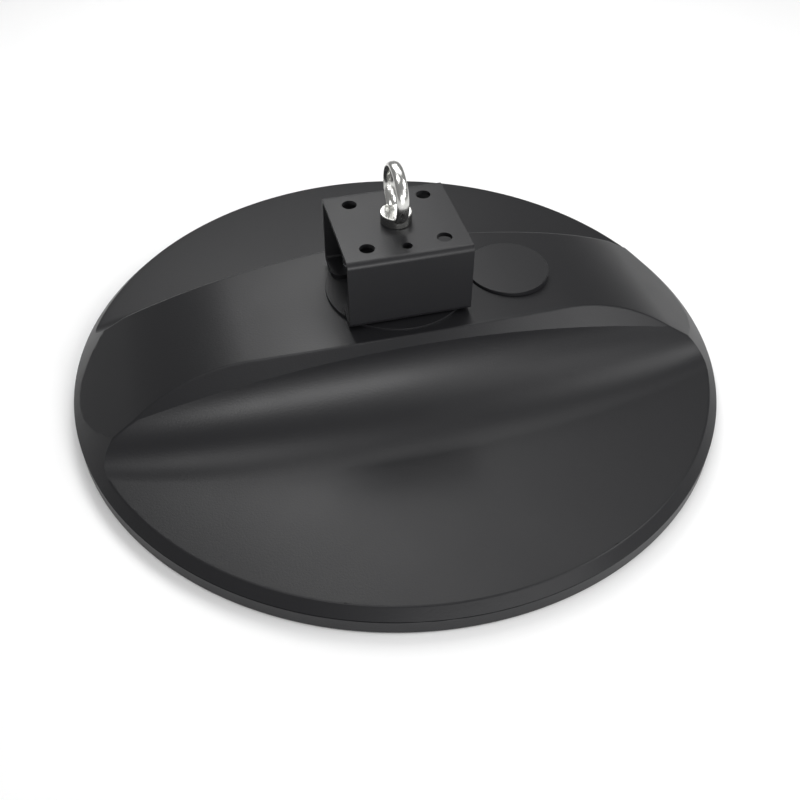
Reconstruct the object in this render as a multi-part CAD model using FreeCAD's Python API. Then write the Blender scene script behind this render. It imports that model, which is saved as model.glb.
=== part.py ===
import FreeCAD
import Part
import math
import os

# High bay light: a flat round die-cast luminaire that hangs from one eye bolt.
# An arched bridge runs across the disc along X and holds the driver. A scoop lies each
# side of the bridge. A folded steel bracket stands on a round pad in the middle.
# The origin is the centre of the flat underside, and +Z points up, away from the light.

# Overall disc
disc_r = 160.0
rim_band_h = 8.3
rim_bevel_h = 4.4
rim_bevel_in = 4.4
wall_t = 3.0

# Arched bridge: one wide arc, a shoulder arc each side, then straight slopes to the rim
bridge_top_z = 51.6
bridge_arc_r = 760.0
bridge_arc_in = 84.3
shoulder_r = 125.0
bridge_end_in = 5.0

# Scoops: a slanted lip under the bridge edge, then a cove down to the floor
lip_y = 41.2
lip_drop = 3.2
lip_end_in = 5.6
lip_end_h = 6.6
lip_slant = 1.3
cove_r = 36.0
cove_end_r = 19.5
scoop_end_in = 2.0
scoop_stations = 9

# Centre pad and bracket
pad_r = 33.8
pad_rise = 1.1
bracket_w = 57.5
bracket_d = 55.8
bracket_h = 35.8
sheet_t = 2.0
bend_r = 1.0
foot_depth = 17.8
foot_corner_r = 5.0
fix_hole_d = 7.0
fix_pitch_x = 35.5
fix_pitch_y = 35.5
line_hole_d = 4.7
line_hole_y = -20.0

# Eye bolt, nut and washer, all M8
thread_d = 8.0
thread_gap = 0.1
eye_ring_r = 12.3
eye_section_w = 5.6
eye_section_t = 3.2
eye_centre_h = 14.8
collar_r = 7.3
collar_h = 5.2
collar_edge_r = 0.4
shank_len = 14.0
washer_od = 16.0
washer_t = 1.6
nut_af = 13.0
nut_h = 6.5

# Bracket screws, M5 cap heads on spring washers
bracket_screw_d = 5.0
cap_head_d = 8.5
cap_head_h = 5.0
cap_socket_af = 4.0
cap_socket_depth = 2.5
spring_washer_t = 1.3
bracket_screw_len = 12.0
boss_wall = 2.6
boss_skin = 1.5

# Round port on the bridge, closed by a flat cover
port_x = 56.6
port_cover_r = 20.2
port_cover_t = 3.0
port_seat_z = 48.9
port_side_gap = 0.4
port_hole_r = 13.0
spigot_gap = 0.3
spigot_len = 4.5
spigot_wall = 2.0
port_seal_w = 2.5
port_seal_t = 1.0

# Cable gland behind the bracket, M16
gland_thread_d = 16.0
gland_z = 30.0
gland_boss_r = 13.0
gland_boss_in = 37.5
gland_clear = 1.5
gland_hex_af = 20.0
gland_hex_h = 5.0
gland_seal_t = 1.0
gland_neck_h = 6.0
gland_neck_d = 15.0
gland_bore_d = 10.0
gland_cap_h = 13.0
gland_cap_mouth_d = 9.0
gland_nut_h = 4.0

# Light engine under the castings: plate, pad, board, emitters
plate_t = 3.0
plate_gap = 0.4
pad_sheet_t = 0.3
board_t = 1.5
board_edge_in = 7.6
emitter_side = 3.0
emitter_t = 0.6
emitter_clear = 13.0
emitter_ring_pitch = 20.0
emitter_inner_rings = 3
emitter_pitch = 23.0
emitter_symmetry_count = 6
inner_screw_r = 77.2
inner_screw_deg = 36.6
outer_screw_in = 28.3
outer_screw_deg = 20.1
plate_screw_d = 4.0
plate_head_d = 7.6
plate_head_h = 2.2
plate_screw_len = 14.0
plate_boss_r = 5.0
plate_boss_h = 14.0
board_screw_mid_deg = 90.0
board_screw_step_deg = 30.0
board_screw_d = 3.0
board_head_d = 5.6
board_head_h = 1.3
screw_gap = 0.15
head_gap = 0.7

# Diffuser, its seal and the bezel ring with its screws
bezel_w = 16.0
bezel_lip_w = 7.2
bezel_lip_t = 1.2
bezel_chamfer = 0.8
seam_h = 0.6
seam_depth = 1.2
diffuser_t = 2.0
diffuser_gap = 0.4
diffuser_step = 0.5
seal_w = 2.5
seal_land = 0.3
bezel_screw_count = 12
bezel_screw_wall = 0.3
bezel_screw_d = 3.0
bezel_head_d = 5.6
bezel_head_h = 2.0
bezel_head_depth = 2.6
bezel_screw_len = 8.5

# Driver in the bridge
driver_len = 132.0
driver_w = 56.0
driver_drop = 12.0
driver_floor_gap = 2.0
driver_wall = 1.2
tab_len = 14.0
tab_boss_y = 18.0
tab_boss_r = 4.5
driver_screw_d = 4.0
driver_head_d = 7.0
driver_head_h = 2.4
driver_screw_len = 6.0
board_post_r = 3.0
board_post_h = 3.5
circuit_t = 1.6
circuit_edge_gap = 2.5
core_len = 34.0
core_w = 28.0
core_x = 18.0
core_yoke = 3.0
can_r = 7.0
can_x = -48.0
can_y = -12.0
can_pitch = 18.0
can_top_gap = 3.5

# Terminal block on the plate, beside the driver
terminal_gap = 10.0
terminal_len = 16.0
terminal_w = 32.0
terminal_h = 17.0
terminal_ways = 3
terminal_way_r = 2.4
terminal_screw_r = 2.0

# Room for a cutting tool above the highest face
tool_clear = 8.0

# Heights that follow
floor_top_z = rim_band_h + rim_bevel_h
plate_bottom_z = floor_top_z - wall_t - plate_t
board_bottom_z = plate_bottom_z - pad_sheet_t - board_t
pad_top_z = bridge_top_z + pad_rise
bracket_top_z = pad_top_z + bracket_h
bevel_run = rim_bevel_in / rim_bevel_h
above_all = bridge_top_z + tool_clear
driver_top_z = bridge_top_z - driver_drop
driver_bottom_z = plate_bottom_z + plate_t + driver_floor_gap
driver_h = driver_top_z - driver_bottom_z
circuit_top_z = driver_bottom_z + driver_wall + board_post_h + circuit_t
can_h = driver_top_z - driver_wall - can_top_gap - circuit_top_z

# Radii and lengths that follow
bridge_arc_half = disc_r - bridge_arc_in
scoop_half = disc_r - scoop_end_in
bezel_inner_r = disc_r - bezel_w
bezel_pocket_r = bezel_inner_r + bezel_lip_w
diffuser_r = bezel_pocket_r - diffuser_gap
recess_r = diffuser_r - seal_w - seal_land
plate_r = recess_r - plate_gap
board_r = plate_r - board_edge_in
outer_screw_r = plate_r - outer_screw_in
bezel_head_hole_r = bezel_head_d / 2 + 2 * screw_gap
bezel_screw_ring_r = bezel_pocket_r + bezel_screw_wall + bezel_head_hole_r
terminal_x = -(driver_len / 2 + tab_len + terminal_gap + terminal_len / 2)

# The gland's boss ends where its seal just clears the cove below it
cove_centre_z = floor_top_z + cove_r
cove_centre_y = lip_y + math.sqrt(cove_r ** 2 - (cove_centre_z - bridge_top_z + lip_drop) ** 2)
seal_foot_z = gland_z - gland_hex_af / 2
cove_at_seal = cove_centre_y - math.sqrt(cove_r ** 2 - (cove_centre_z - seal_foot_z) ** 2)
gland_boss_out = cove_at_seal + gland_clear
UP = FreeCAD.Vector(0, 0, 1)


def vec(x, y, z):
    return FreeCAD.Vector(x, y, z)


def cylinder(r, h, x, y, z):
    return Part.makeCylinder(r, h, vec(x, y, z), UP)


def tube(r_out, r_in, h, x, y, z):
    return cylinder(r_out, h, x, y, z).cut(cylinder(r_in, h, x, y, z))


def box(x_len, y_len, z_len, x, y, z):
    """Box centred on x and y, standing on z."""
    return Part.makeBox(x_len, y_len, z_len, vec(x - x_len / 2, y - y_len / 2, z))


def revolved(points):
    """Solid turned about Z from (radius, height) points."""
    corners = [vec(r, 0, z) for r, z in points]
    face = Part.Face(Part.makePolygon(corners + corners[:1]))
    return face.revolve(vec(0, 0, 0), UP, 360)


def hexagon(af, h, bore_d, x, y, z):
    """Hexagonal prism with the width across flats and a round bore."""
    corner_r = af / math.sqrt(3)
    corners = []
    for i in range(6):
        a = math.radians(60 * i)
        corners.append(vec(x + corner_r * math.cos(a), y + corner_r * math.sin(a), z))
    prism = Part.Face(Part.makePolygon(corners + corners[:1])).extrude(vec(0, 0, h))
    if bore_d > 0:
        prism = prism.cut(cylinder(bore_d / 2, h, x, y, z))
    return prism


def laid_along_y(shape):
    """Turns a shape built along +Z so that it points along +Y."""
    turned = shape.copy()
    turned.rotate(vec(0, 0, 0), vec(1, 0, 0), -90)
    return turned


def fused(shapes):
    total = shapes[0]
    for shape in shapes[1:]:
        total = total.fuse(shape)
    return total.removeSplitter()


def both_sides(x, y):
    return [(sx * x, sy * y) for sx in (-1, 1) for sy in (-1, 1)]


def save(name, shapes):
    """Writes one node; a list becomes one group of separate solids."""
    shape = Part.makeCompound(shapes) if isinstance(shapes, list) else shapes
    shape.exportStep(os.path.join("parts", name + ".step"))


# Casting

def bridge_section(inset):
    """The bridge's outline in the XZ plane, moved inwards by inset.

    Each straight slope leaves its shoulder arc on the tangent that reaches the floor's
    height just inside the rim.
    """
    joint = math.asin(bridge_arc_half / bridge_arc_r)
    crown = (0.0, bridge_top_z - bridge_arc_r)
    side = ((bridge_arc_r - shoulder_r) * math.sin(joint),
            crown[1] + (bridge_arc_r - shoulder_r) * math.cos(joint))
    end_x = disc_r - bridge_end_in - side[0]
    end_z = floor_top_z - side[1]
    slope = math.atan2(end_x, end_z) - math.acos(shoulder_r / math.hypot(end_x, end_z))

    def on_arc(centre, r, a):
        return vec(centre[0] + r * math.sin(a), 0, centre[1] + r * math.cos(a))

    arc_end = on_arc(crown, bridge_arc_r - inset, joint)
    shoulder_mid = on_arc(side, shoulder_r - inset, (joint + slope) / 2)
    shoulder_end = on_arc(side, shoulder_r - inset, slope)
    run = disc_r + 2 * wall_t - shoulder_end.x
    foot = vec(shoulder_end.x + run, 0, shoulder_end.z - run * math.tan(slope))
    base_z = min(foot.z, 0.0) - wall_t
    corner = vec(foot.x, 0, base_z)

    def other(p):
        return vec(-p.x, p.y, p.z)

    crown_point = vec(0, 0, bridge_top_z - inset)
    edges = [Part.Arc(other(arc_end), crown_point, arc_end).toShape(),
             Part.Arc(arc_end, shoulder_mid, shoulder_end).toShape(),
             Part.makeLine(shoulder_end, foot),
             Part.makeLine(foot, corner),
             Part.makeLine(corner, other(corner)),
             Part.makeLine(other(corner), other(foot)),
             Part.makeLine(other(foot), other(shoulder_end)),
             Part.Arc(other(shoulder_end), other(shoulder_mid), other(arc_end)).toShape()]
    return Part.Face(Part.Wire(edges))


def bridge_block(inset):
    face = bridge_section(inset)
    face.translate(vec(0, -disc_r, 0))
    return face.extrude(vec(0, 2 * disc_r, 0))


def disc_block():
    """The disc with its bevelled rim, carried on upwards at the bevel's own slope."""
    height = above_all - rim_band_h
    return Part.makeCone(disc_r, disc_r - height * bevel_run, height, vec(0, 0, rim_band_h), UP)


def scoop_wire(x, inset):
    """One section of the scoop: lip line, cove arc, floor line, and a frame outside."""
    share = (x / scoop_half) ** 2
    lip_top_z = bridge_top_z - lip_drop
    edge_y = lip_y - lip_end_in * share
    edge_z = lip_top_z - (lip_top_z - floor_top_z - lip_end_h) * share
    r = cove_r - (cove_r - cove_end_r) * share
    centre_z = floor_top_z + r
    centre_y = edge_y + math.sqrt(r * r - (centre_z - edge_z) ** 2)
    size = math.hypot(1.0, lip_slant)
    normal = (1.0 / size, lip_slant / size)
    along = (-lip_slant / size, 1.0 / size)
    start_y = edge_y - inset * normal[0] - centre_y
    start_z = edge_z - inset * normal[1] - centre_z
    reach = r + inset
    half_b = start_y * along[0] + start_z * along[1]
    step = -half_b + math.sqrt(half_b ** 2 - (start_y ** 2 + start_z ** 2 - reach ** 2))
    lip = (centre_y + start_y + step * along[0], centre_z + start_z + step * along[1])
    top = (lip[0] - lip_slant * (above_all - lip[1]), above_all)
    angle = math.atan2(lip[1] - centre_z, lip[0] - centre_y) % (2 * math.pi)
    middle = (angle + 1.5 * math.pi) / 2
    bend = (centre_y + reach * math.cos(middle), centre_z + reach * math.sin(middle))
    foot = (centre_y, floor_top_z - inset)
    far_y = disc_r + 4 * wall_t
    points = [vec(x, p[0], p[1]) for p in (top, lip, bend, foot)]
    far_low = vec(x, far_y, floor_top_z - inset)
    far_high = vec(x, far_y, above_all)
    edges = [Part.makeLine(points[0], points[1]),
             Part.Arc(points[1], points[2], points[3]).toShape(),
             Part.makeLine(points[3], far_low),
             Part.makeLine(far_low, far_high),
             Part.makeLine(far_high, points[0])]
    return Part.Wire(edges)


def scoop_cutter(inset):
    """The rear scoop's space, as a loft of sections along X."""
    pitch = 2 * scoop_half / (scoop_stations - 1)
    wires = [scoop_wire(-scoop_half + i * pitch, inset) for i in range(scoop_stations)]
    return Part.makeLoft(wires, True, False)


def mirrored_y(shape):
    return shape.mirror(vec(0, 0, 0), vec(0, 1, 0))


def cast_form(inset):
    rear = scoop_cutter(inset)
    return bridge_block(inset).common(disc_block()).cut(rear).cut(mirrored_y(rear))


def driver_room():
    """The hollow of the bridge, one wall inside the casting."""
    slab = cylinder(recess_r - wall_t, above_all, 0, 0, floor_top_z - wall_t)
    return cast_form(wall_t).common(slab)


def at_angle(r, degrees):
    a = math.radians(degrees)
    return r * math.cos(a), r * math.sin(a)


def plate_spots():
    return (both_sides(*at_angle(inner_screw_r, inner_screw_deg))
            + both_sides(*at_angle(outer_screw_r, outer_screw_deg)))


def bezel_spots():
    return [at_angle(bezel_screw_ring_r, 360.0 * (i + 0.5) / bezel_screw_count)
            for i in range(bezel_screw_count)]


def fix_spots():
    return both_sides(fix_pitch_x / 2, fix_pitch_y / 2)


def tab_spots():
    return both_sides((driver_len + tab_len) / 2, tab_boss_y)


def make_housing():
    outer = cast_form(0.0)
    pad_foot_z = bridge_top_z - wall_t
    outer = outer.fuse(cylinder(pad_r, pad_top_z - pad_foot_z, 0, 0, pad_foot_z))
    seat_foot_z = port_seat_z - 2 * wall_t
    pocket_r = port_cover_r + port_side_gap
    outer = outer.cut(cylinder(pocket_r, above_all, port_x, 0, port_seat_z))
    seat = cylinder(port_cover_r, port_seat_z - seat_foot_z, port_x, 0, seat_foot_z)

    room = driver_room()
    shell = outer.cut(room)

    additions = [seat]
    fix_boss_r = bracket_screw_d / 2 + boss_wall
    fix_boss_z = pad_top_z - (bracket_screw_len - sheet_t - spring_washer_t) - boss_skin
    for x, y in fix_spots():
        additions.append(cylinder(fix_boss_r, pad_foot_z - fix_boss_z, x, y, fix_boss_z))
    inner = bridge_block(wall_t / 2)
    for x, y in tab_spots():
        post = cylinder(tab_boss_r, above_all, x, y, driver_top_z)
        additions.append(post.common(inner))
    solid_form = cast_form(wall_t / 2)
    for x, y in plate_spots():
        post = cylinder(plate_boss_r, plate_boss_h, x, y, floor_top_z - wall_t)
        additions.append(post.common(solid_form))
    neck = Part.makeCylinder(gland_boss_r, gland_boss_out - gland_boss_in,
                             vec(0, gland_boss_in, gland_z), vec(0, 1, 0))
    additions.append(neck)
    shell = fused([shell] + additions)

    cuts = [cylinder(recess_r, floor_top_z - wall_t - rim_band_h, 0, 0, rim_band_h),
            cylinder(port_hole_r, above_all, port_x, 0, seat_foot_z),
            Part.makeCylinder(gland_thread_d / 2 + thread_gap, gland_boss_out,
                              vec(0, gland_boss_in / 2, gland_z), vec(0, 1, 0))]
    for x, y in fix_spots():
        hole_z = pad_top_z - (bracket_screw_len - sheet_t - spring_washer_t) - thread_gap
        cuts.append(cylinder(bracket_screw_d / 2 + thread_gap, above_all, x, y, hole_z))
    for x, y in tab_spots():
        depth = driver_screw_len - driver_wall + thread_gap
        cuts.append(cylinder(driver_screw_d / 2 + thread_gap, depth, x, y, driver_top_z))
    for x, y in plate_spots():
        depth = plate_screw_len - plate_t + thread_gap
        cuts.append(cylinder(plate_screw_d / 2 + thread_gap, depth, x, y, floor_top_z - wall_t))
    for x, y in bezel_spots():
        depth = bezel_screw_len - (rim_band_h - bezel_head_depth) + thread_gap
        cuts.append(cylinder(bezel_screw_d / 2 + thread_gap, depth, x, y, rim_band_h))
    for tool in cuts:
        shell = shell.cut(tool)
    return shell


# Bracket and its fixings

def make_bracket():
    """One folded sheet: a top plate, two sides and two feet turned inwards."""
    outer = box(bracket_w, bracket_d, bracket_h, 0, 0, pad_top_z)
    inner = box(bracket_w, bracket_d - 2 * sheet_t, bracket_h - 2 * sheet_t, 0, 0,
                pad_top_z + sheet_t)

    def bends(block):
        return [e for e in block.Edges
                if abs(e.Vertexes[0].Point.x - e.Vertexes[-1].Point.x) > bracket_w / 2]

    outer = outer.makeFillet(bend_r + sheet_t, bends(outer))
    inner = inner.makeFillet(bend_r, bends(inner))
    sheet = outer.cut(inner)
    slot_d = bracket_d - 2 * foot_depth
    sheet = sheet.cut(box(bracket_w, slot_d, sheet_t, 0, 0, pad_top_z))
    corners = []
    for e in sheet.Edges:
        p, q = e.Vertexes[0].Point, e.Vertexes[-1].Point
        upright = abs(p.z - q.z) > sheet_t / 2 and abs(p.x - q.x) < 0.01
        if upright and abs(abs(p.y) - slot_d / 2) < 0.01 and max(p.z, q.z) < pad_top_z + 2 * sheet_t:
            corners.append(e)
    sheet = sheet.makeFillet(foot_corner_r, corners)
    top_z = bracket_top_z - 2 * sheet_t
    sheet = sheet.cut(cylinder(thread_d / 2 + thread_gap, bracket_h, 0, 0, top_z))
    sheet = sheet.cut(cylinder(line_hole_d / 2, bracket_h, 0, line_hole_y, top_z))
    for x, y in fix_spots():
        sheet = sheet.cut(cylinder(fix_hole_d / 2, bracket_h, x, y, top_z))
        sheet = sheet.cut(cylinder(bracket_screw_d / 2 + screw_gap, 2 * sheet_t, x, y,
                                   pad_top_z - sheet_t))
    return sheet


def make_eye_bolt():
    """Ring of oval section on a collar and a threaded shank."""
    centre_z = bracket_top_z + eye_centre_h
    top = vec(0, 0, centre_z + eye_ring_r)
    oval = Part.Ellipse(top + vec(eye_section_w / 2, 0, 0), top + vec(0, 0, eye_section_t / 2), top)
    section = Part.Face(Part.Wire(oval.toShape()))
    ring = section.revolve(vec(0, 0, centre_z), vec(1, 0, 0), 360)
    collar = cylinder(collar_r, collar_h, 0, 0, bracket_top_z)
    top_edge = [e for e in collar.Edges if e.BoundBox.ZMin > bracket_top_z + collar_h / 2]
    collar = collar.makeFillet(collar_edge_r, top_edge)
    shank = cylinder(thread_d / 2, shank_len, 0, 0, bracket_top_z - shank_len)
    return fused([ring, collar, shank])


def make_eye_nut():
    z = bracket_top_z - sheet_t - washer_t - nut_h
    return hexagon(nut_af, nut_h, thread_d + 2 * thread_gap, 0, 0, z)


def make_eye_washer():
    z = bracket_top_z - sheet_t - washer_t
    return tube(washer_od / 2, thread_d / 2 + thread_gap, washer_t, 0, 0, z)


def make_cap_screw(x, y):
    seat_z = pad_top_z + sheet_t + spring_washer_t
    head = cylinder(cap_head_d / 2, cap_head_h, x, y, seat_z)
    socket = hexagon(cap_socket_af, cap_socket_depth, 0, x, y,
                     seat_z + cap_head_h - cap_socket_depth)
    shank = cylinder(bracket_screw_d / 2, bracket_screw_len, x, y, seat_z - bracket_screw_len)
    return head.cut(socket).fuse(shank).removeSplitter()


def make_spring_washer(x, y):
    z = pad_top_z + sheet_t
    return tube(cap_head_d / 2, bracket_screw_d / 2 + thread_gap, spring_washer_t, x, y, z)


# Port cover and cable gland

def make_port_cover():
    disc = cylinder(port_cover_r, port_cover_t, port_x, 0, port_seat_z)
    spigot_r = port_hole_r - spigot_gap
    skirt = tube(spigot_r, spigot_r - spigot_wall, spigot_len, port_x, 0, port_seat_z - spigot_len)
    groove = tube(port_hole_r + port_seal_w + spigot_gap, port_hole_r + spigot_gap, port_seal_t,
                  port_x, 0, port_seat_z)
    return disc.fuse(skirt).removeSplitter().cut(groove)


def make_port_seal():
    return tube(port_hole_r + port_seal_w + spigot_gap - thread_gap,
                port_hole_r + spigot_gap + thread_gap, port_seal_t, port_x, 0, port_seat_z)


def place_gland(shape, y):
    laid = laid_along_y(shape)
    laid.translate(vec(0, y, gland_z))
    return laid


def make_gland_body():
    thread_len = gland_boss_out - gland_boss_in + gland_nut_h + gland_seal_t
    parts = [cylinder(gland_thread_d / 2, thread_len, 0, 0, -thread_len),
             hexagon(gland_hex_af, gland_hex_h, 0, 0, 0, 0),
             cylinder(gland_neck_d / 2, gland_neck_h, 0, 0, gland_hex_h)]
    bore = cylinder(gland_bore_d / 2, 2 * thread_len, 0, 0, -thread_len)
    return place_gland(fused(parts).cut(bore), gland_boss_out + gland_seal_t)


def make_gland_cap():
    mouth = 2.0
    outer = revolved([(gland_neck_d / 2 + thread_gap, 0), (gland_hex_af / 2, 0),
                      (gland_hex_af / 2, gland_cap_h - 2 * mouth),
                      (gland_cap_mouth_d / 2 + mouth, gland_cap_h),
                      (gland_cap_mouth_d / 2, gland_cap_h),
                      (gland_cap_mouth_d / 2, gland_cap_h - mouth),
                      (gland_neck_d / 2 + thread_gap, gland_cap_h - 2 * mouth)])
    return place_gland(outer, gland_boss_out + gland_seal_t + gland_hex_h)


def make_gland_plug():
    """Closed rubber insert that takes the cable when the light is wired."""
    length = gland_hex_h + gland_neck_h
    plug = revolved([(0, 0), (gland_bore_d / 2 - thread_gap, 0),
                     (gland_bore_d / 2 - thread_gap, length),
                     (gland_neck_d / 2 - 1, length), (gland_cap_mouth_d / 2, length + 2.0),
                     (0, length + 2.0)])
    return place_gland(plug, gland_boss_out + gland_seal_t)


def make_gland_seal():
    ring = tube(gland_hex_af / 2, gland_thread_d / 2 + thread_gap, gland_seal_t, 0, 0, 0)
    return place_gland(ring, gland_boss_out)


def make_gland_nut():
    nut = hexagon(gland_hex_af, gland_nut_h, gland_thread_d + 2 * thread_gap, 0, 0, 0)
    return place_gland(nut, gland_boss_in - gland_nut_h)


# Light engine

def make_heat_plate():
    plate = cylinder(plate_r, plate_t, 0, 0, plate_bottom_z)
    for x, y in plate_spots():
        plate = plate.cut(cylinder(plate_screw_d / 2 + screw_gap, plate_t, x, y, plate_bottom_z))
    for x, y in board_screw_spots():
        plate = plate.cut(cylinder(board_screw_d / 2 + thread_gap, plate_t, x, y, plate_bottom_z))
    return plate


def board_screw_spots():
    return [at_angle(outer_screw_r, side * board_screw_mid_deg + i * board_screw_step_deg)
            for side in (-1, 1) for i in (-1, 0, 1)]


def board_sheet(r, t, z):
    """A round sheet under the plate with room for the plate's and the board's screws."""
    sheet = cylinder(r, t, 0, 0, z)
    for x, y in plate_spots():
        sheet = sheet.cut(cylinder(plate_head_d / 2 + head_gap, t, x, y, z))
    for x, y in board_screw_spots():
        sheet = sheet.cut(cylinder(board_screw_d / 2 + screw_gap, t, x, y, z))
    return sheet


def emitter_ring_radii():
    """Rings that leave room for the heads of the inner and the outer screws."""
    last_inner = inner_screw_r - emitter_clear
    radii = [last_inner - i * emitter_ring_pitch for i in range(emitter_inner_rings)]
    return radii + [inner_screw_r + emitter_clear, outer_screw_r - emitter_clear,
                    outer_screw_r + emitter_clear]


def make_emitters():
    emitters = []
    for ring_r in emitter_ring_radii():
        share = 2 * math.pi * ring_r / (emitter_symmetry_count * emitter_pitch)
        count = emitter_symmetry_count * max(1, round(share))
        for i in range(count):
            degrees = 360.0 * (i + 0.5) / count
            chip = box(emitter_side, emitter_side, emitter_t, ring_r, 0,
                       board_bottom_z - emitter_t)
            chip.rotate(vec(0, 0, 0), UP, degrees)
            emitters.append(chip)
    return emitters


def hanging_screw(head_d, head_h, shank_d, shank_len, x, y, z):
    """A screw whose head hangs below z and whose shank points up."""
    head = cylinder(head_d / 2, head_h, x, y, z - head_h)
    shank = cylinder(shank_d / 2, shank_len, x, y, z)
    return head.fuse(shank).removeSplitter()


def make_plate_screws():
    return [hanging_screw(plate_head_d, plate_head_h, plate_screw_d, plate_screw_len, x, y,
                          plate_bottom_z) for x, y in plate_spots()]


def make_board_screws():
    length = board_t + pad_sheet_t + plate_t
    return [hanging_screw(board_head_d, board_head_h, board_screw_d, length, x, y,
                          board_bottom_z) for x, y in board_screw_spots()]


# Diffuser and bezel

def make_diffuser():
    """Flat frosted disc, a little thicker inside the bezel's opening."""
    step_r = bezel_inner_r - diffuser_gap
    return revolved([(0, bezel_lip_t - diffuser_step), (step_r, bezel_lip_t - diffuser_step),
                     (step_r, bezel_lip_t), (diffuser_r, bezel_lip_t),
                     (diffuser_r, bezel_lip_t + diffuser_t), (0, bezel_lip_t + diffuser_t)])


def make_diffuser_seal():
    z = bezel_lip_t + diffuser_t
    return tube(diffuser_r, diffuser_r - seal_w, rim_band_h - z, 0, 0, z)


def make_bezel():
    seam_z = rim_band_h - seam_h
    ring = revolved([(bezel_inner_r, 0), (disc_r - bezel_chamfer, 0), (disc_r, bezel_chamfer),
                     (disc_r, seam_z), (disc_r - seam_depth, seam_z),
                     (disc_r - seam_depth, rim_band_h), (bezel_pocket_r, rim_band_h),
                     (bezel_pocket_r, bezel_lip_t), (bezel_inner_r, bezel_lip_t)])
    for x, y in bezel_spots():
        ring = ring.cut(cylinder(bezel_screw_d / 2 + screw_gap, rim_band_h, x, y, 0))
        ring = ring.cut(cylinder(bezel_head_hole_r, bezel_head_depth, x, y, 0))
    return ring


def make_bezel_screws():
    return [hanging_screw(bezel_head_d, bezel_head_h, bezel_screw_d, bezel_screw_len, x, y,
                          bezel_head_depth) for x, y in bezel_spots()]


# Driver and terminal block

def make_driver_case():
    """Folded tray, open below, with a tab at each end."""
    z = driver_bottom_z
    outer = box(driver_len, driver_w, driver_h, 0, 0, z)
    inner = box(driver_len - 2 * driver_wall, driver_w - 2 * driver_wall, driver_h - driver_wall,
                0, 0, z)
    case = outer.cut(inner)
    tabs = box(driver_len + 2 * tab_len, driver_w, driver_wall, 0, 0, driver_top_z - driver_wall)
    case = case.fuse(tabs).removeSplitter()
    for x, y in tab_spots():
        case = case.cut(cylinder(driver_screw_d / 2 + screw_gap, driver_wall, x, y,
                                 driver_top_z - driver_wall))
    return case


def circuit_size():
    shrink = 2 * (driver_wall + circuit_edge_gap)
    return driver_len - shrink, driver_w - shrink


def make_driver_cover():
    """Lid that fits inside the tray's walls, with four posts for the circuit board."""
    z = driver_bottom_z
    shrink = 2 * (driver_wall + thread_gap)
    lid = box(driver_len - shrink, driver_w - shrink, driver_wall, 0, 0, z)
    long_side, short_side = circuit_size()
    posts = [cylinder(board_post_r, board_post_h, x, y, z + driver_wall)
             for x, y in both_sides(long_side / 2 - 2 * board_post_r,
                                    short_side / 2 - 2 * board_post_r)]
    return fused([lid] + posts)


def make_driver_board():
    long_side, short_side = circuit_size()
    return box(long_side, short_side, circuit_t, 0, 0, circuit_top_z - circuit_t)


def make_driver_core():
    """Transformer: a winding between two yokes."""
    core = box(core_len, core_w, can_h, core_x, 0, circuit_top_z)
    window = (can_h - 2 * core_yoke) / 2
    for side in (-1, 1):
        core = core.cut(box(core_len - 4 * core_yoke, core_yoke, window, core_x,
                            side * (core_w - core_yoke) / 2,
                            circuit_top_z + window / 2 + core_yoke))
    return core


def make_driver_cans():
    spots = [(can_x, can_y), (can_x, can_y + can_pitch), (can_x + can_pitch, can_y)]
    return [cylinder(can_r, can_h, x, y, circuit_top_z) for x, y in spots]


def make_driver_screws():
    return [hanging_screw(driver_head_d, driver_head_h, driver_screw_d, driver_screw_len, x, y,
                          driver_top_z - driver_wall) for x, y in tab_spots()]


def make_terminal_block():
    x_len, y_len, z_len = terminal_len, terminal_w, terminal_h
    z = plate_bottom_z + plate_t
    block = box(x_len, y_len, z_len, terminal_x, 0, z)
    pitch = y_len / terminal_ways
    for i in range(terminal_ways):
        y = (i - (terminal_ways - 1) / 2) * pitch
        way = Part.makeCylinder(terminal_way_r, x_len, vec(terminal_x - x_len / 2, y, z + z_len / 3),
                                vec(1, 0, 0))
        block = block.cut(way)
        block = block.cut(cylinder(terminal_screw_r, z_len / 2, terminal_x, y, z + z_len / 2))
    return block


def main():
    os.makedirs("parts", exist_ok=True)
    save("housing", make_housing())
    save("bracket", make_bracket())
    save("eye_bolt", make_eye_bolt())
    save("eye_washer", make_eye_washer())
    save("eye_nut", make_eye_nut())
    save("bracket_screws", [make_cap_screw(x, y) for x, y in fix_spots()])
    save("bracket_washers", [make_spring_washer(x, y) for x, y in fix_spots()])
    save("port_cover", make_port_cover())
    save("port_seal", make_port_seal())
    save("gland_body", make_gland_body())
    save("gland_cap", make_gland_cap())
    save("gland_plug", make_gland_plug())
    save("gland_seal", make_gland_seal())
    save("gland_nut", make_gland_nut())
    save("heat_plate", make_heat_plate())
    save("thermal_pad", board_sheet(board_r, pad_sheet_t, plate_bottom_z - pad_sheet_t))
    save("led_board", board_sheet(board_r, board_t, board_bottom_z))
    save("led_emitters", make_emitters())
    save("plate_screws", make_plate_screws())
    save("board_screws", make_board_screws())
    save("diffuser", make_diffuser())
    save("diffuser_seal", make_diffuser_seal())
    save("bezel", make_bezel())
    save("bezel_screws", make_bezel_screws())
    save("driver_case", make_driver_case())
    save("driver_cover", make_driver_cover())
    save("driver_board", make_driver_board())
    save("driver_transformer", make_driver_core())
    save("driver_capacitors", make_driver_cans())
    save("driver_screws", make_driver_screws())
    save("terminal_block", make_terminal_block())


main()
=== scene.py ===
import logging
import math
from dataclasses import dataclass, field
from enum import Enum
from typing import Sequence

import bmesh
import bpy
import numpy as np
from mathutils import Matrix, Vector


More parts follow.
